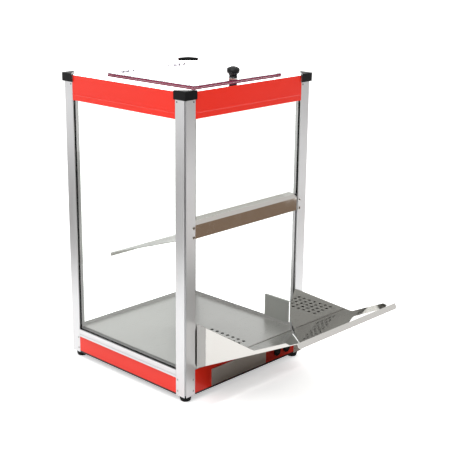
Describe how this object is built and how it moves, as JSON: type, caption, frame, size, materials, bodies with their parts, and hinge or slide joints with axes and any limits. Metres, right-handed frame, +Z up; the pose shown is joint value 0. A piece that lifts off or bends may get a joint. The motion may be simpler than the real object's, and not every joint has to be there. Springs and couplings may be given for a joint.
{
  "type": "hot food display case",
  "caption": "Countertop heated food display case with clear walls, lift-up filling lid, drop-front serving door, perforated floor, crumb drawer and base heater.",
  "frame": {"origin": "on the supporting surface, under the middle of the whole object's box with the serving door fully open", "axes": "+Z up, -Y towards the front where the serving door opens, +X to the right seen from the front"},
  "size_m": [0.406, 0.6964, 0.726],
  "materials": {
    "brushed_aluminium": "brushed anodised extrusion",
    "polished_steel": "polished stainless sheet",
    "satin_steel": "satin stainless sheet",
    "red_enamel": "gloss red enamel on steel sheet",
    "black_enamel": "black enamel",
    "black_plastic": "moulded plastic, slight sheen",
    "black_rubber": "matt rubber",
    "clear_glass": "clear tempered sheet",
    "clear_lid": "clear acrylic sheet with dark polished edges",
    "lamp_glass": "frosted lamp glass",
    "heater_sheath": "heat-darkened metal sheath"
  },
  "bodies": {
    "cabinet": {"post_front_left": "brushed_aluminium", "post_cap_front_left": "black_plastic", "foot_front_left": "black_rubber", "post_front_right": "brushed_aluminium", "post_cap_front_right": "black_plastic", "foot_front_right": "black_rubber", "post_rear_right": "brushed_aluminium", "post_cap_rear_right": "black_plastic", "foot_rear_right": "black_rubber", "post_rear_left": "brushed_aluminium", "post_cap_rear_left": "black_plastic", "foot_rear_left": "black_rubber", "header_left": "red_enamel", "skirt_left": "red_enamel", "clear_panel_left": "clear_glass", "glazing_gasket_left": "black_rubber", "header_rear": "red_enamel", "skirt_rear": "red_enamel", "clear_panel_rear": "clear_glass", "glazing_gasket_rear": "black_rubber", "header_right": "red_enamel", "skirt_right": "red_enamel", "clear_panel_right": "clear_glass", "glazing_gasket_right": "black_rubber", "header_front": "red_enamel", "skirt_front": "red_enamel", "clear_panel_front": "clear_glass", "glazing_gasket_front": "black_rubber", "lower_rail_left": "brushed_aluminium", "lower_rail_rear": "brushed_aluminium", "lower_rail_right": "brushed_aluminium", "roof_panel": "polished_steel", "lid_hinge_left_fixed_leaf": "clear_lid", "lid_hinge_right_fixed_leaf": "clear_lid", "lamp_tube": "lamp_glass", "lamp_bracket": "black_plastic", "middle_bar": "polished_steel", "food_baffle": "satin_steel", "perforated_floor": "satin_steel", "cable_cover": "satin_steel", "door_hinge_fixed_leaf": "satin_steel", "door_hinge_pin": "satin_steel", "base_pan": "black_enamel", "drawer_guide": "satin_steel", "heat_switch_housing": "black_plastic", "light_switch_housing": "black_plastic", "heating_element": "heater_sheath", "heater_stand": "satin_steel", "thermostat": "black_plastic", "power_inlet": "black_plastic"},
    "lid": {"lid_panel": "clear_lid", "lid_knob": "black_plastic", "lid_hinge_left_moving_leaf": "clear_lid", "lid_hinge_right_moving_leaf": "clear_lid"},
    "door": {"serving_door": "polished_steel", "door_hinge_moving_leaf": "satin_steel"},
    "drawer": {"crumb_drawer": "satin_steel"},
    "heat_rocker": {"heat_switch_rocker": "black_plastic"},
    "light_rocker": {"light_switch_rocker": "black_plastic"}
  },
  "joints": [
    {"name": "lid_hinge", "type": "hinge", "parent": "cabinet", "child": "lid", "pos_m": [0, 0.26616, 0.7017], "axis": [-1, 0, 0], "range_deg": [0, 105]},
    {"name": "door_hinge", "type": "hinge", "parent": "cabinet", "child": "door", "pos_m": [0, -0.05484, 0.077], "axis": [-1, 0, 0], "range_deg": [0, 63.6]},
    {"name": "drawer_slide", "type": "slide", "parent": "cabinet", "child": "drawer", "axis": [0, -1, 0], "range_m": [0, 0.13]},
    {"name": "heat_switch", "type": "hinge", "parent": "cabinet", "child": "heat_rocker", "pos_m": [0.108, -0.05384, 0.0375], "axis": [1, 0, 0], "range_deg": [0, 20]},
    {"name": "light_switch", "type": "hinge", "parent": "cabinet", "child": "light_rocker", "pos_m": [0.142, -0.05384, 0.0375], "axis": [1, 0, 0], "range_deg": [0, 20]}
  ]
}
